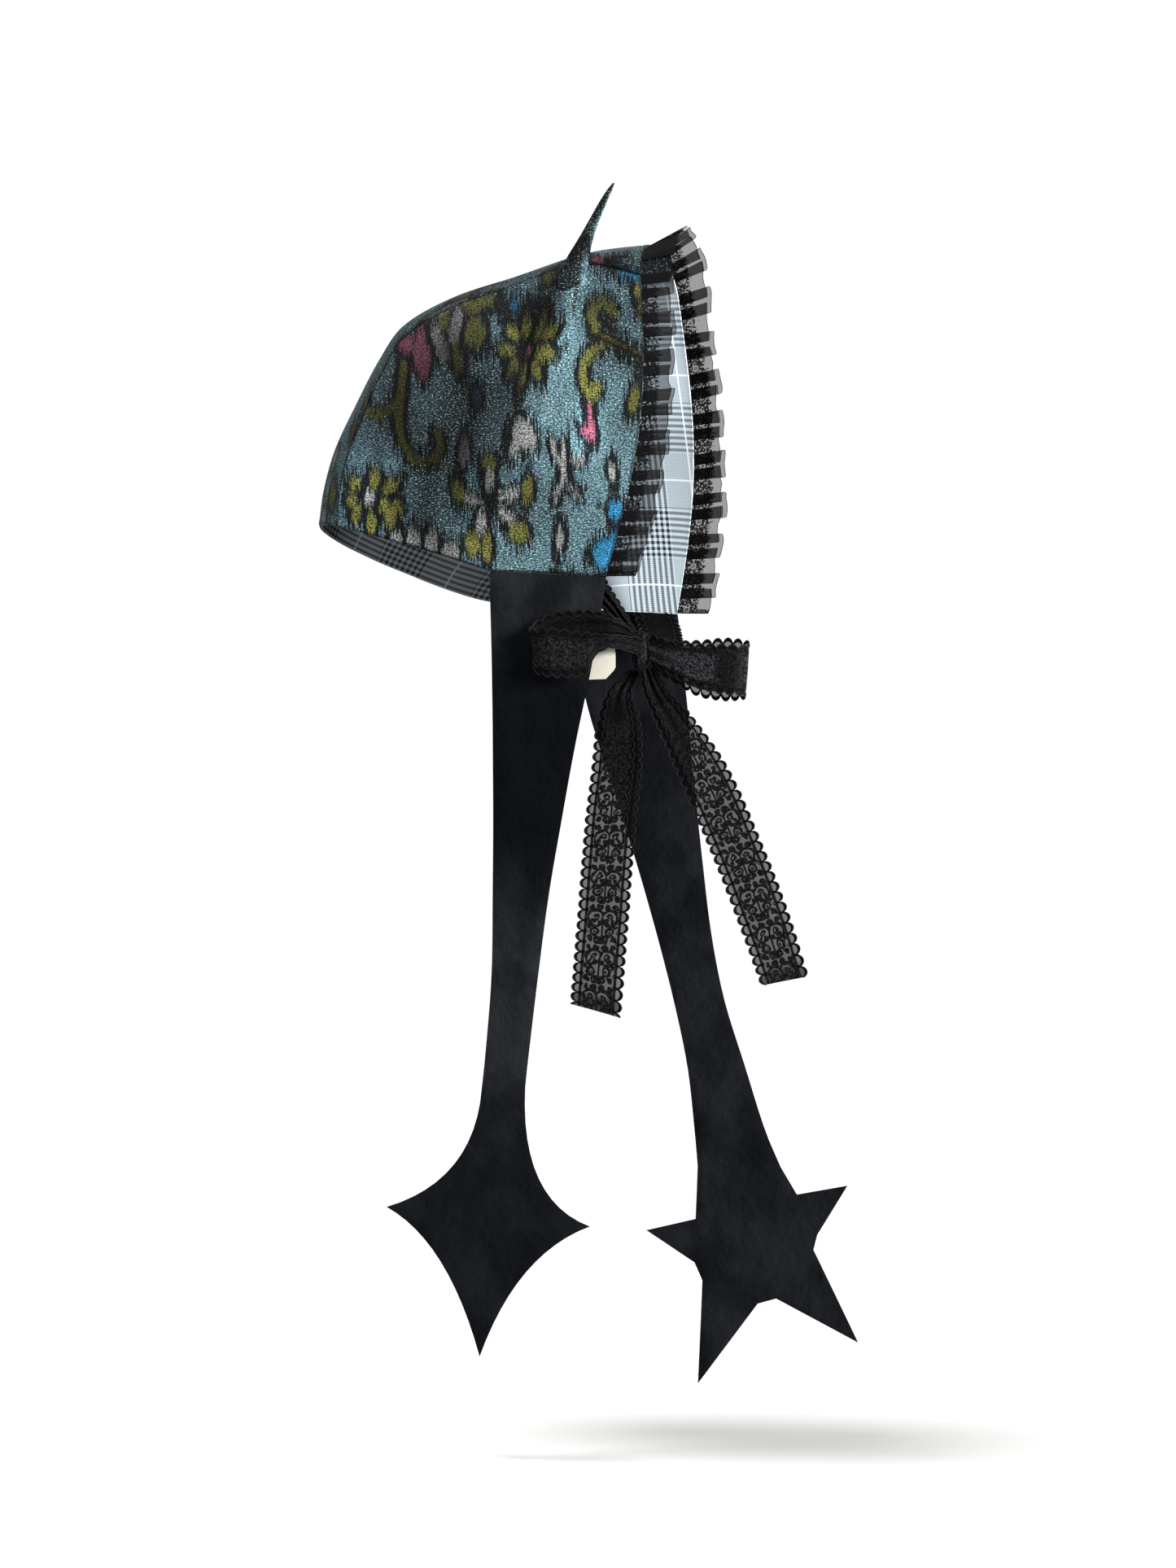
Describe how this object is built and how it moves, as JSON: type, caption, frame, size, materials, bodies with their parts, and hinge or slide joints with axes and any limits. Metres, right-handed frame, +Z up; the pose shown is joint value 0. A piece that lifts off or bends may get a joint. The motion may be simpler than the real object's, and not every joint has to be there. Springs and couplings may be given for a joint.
{
  "type": "bonnet",
  "caption": "Horned fashion bonnet: ikat crown, plaid lining, pleated organza ruffle, star-ended straps and a chin tie with a lace bow.",
  "frame": {"origin": "inside top of the hollow, where the crown rests on the top of a head", "axes": "the wearer faces -Y, the wearer's left is +X, +Z is up as worn"},
  "size_m": [0.2099, 0.383, 0.8624],
  "materials": {
    "ikat_cloth": "teal lurex cloth with a woven flower pattern, faint glitter",
    "plaid_lining": "matt glen-check cotton",
    "pleated_organza": "sheer organza with black lace embroidery",
    "strap_cotton": "matt black cotton",
    "lace": "black scalloped lace on net",
    "label_tape": "plain cream tape"
  },
  "bodies": {
    "root": {"crown_band": "ikat_cloth", "side_panel_left": "ikat_cloth", "side_panel_right": "ikat_cloth", "lining": "plaid_lining", "ruffle": "pleated_organza", "strap_left": "strap_cotton", "strap_right": "strap_cotton", "lace_tie_left": "lace", "lace_tie_right": "lace", "bow_knot": "lace", "bow_loop_back": "lace", "bow_loop_front": "lace", "bow_tail_back": "lace", "bow_tail_front": "lace", "care_label": "label_tape"}
  },
  "joints": []
}
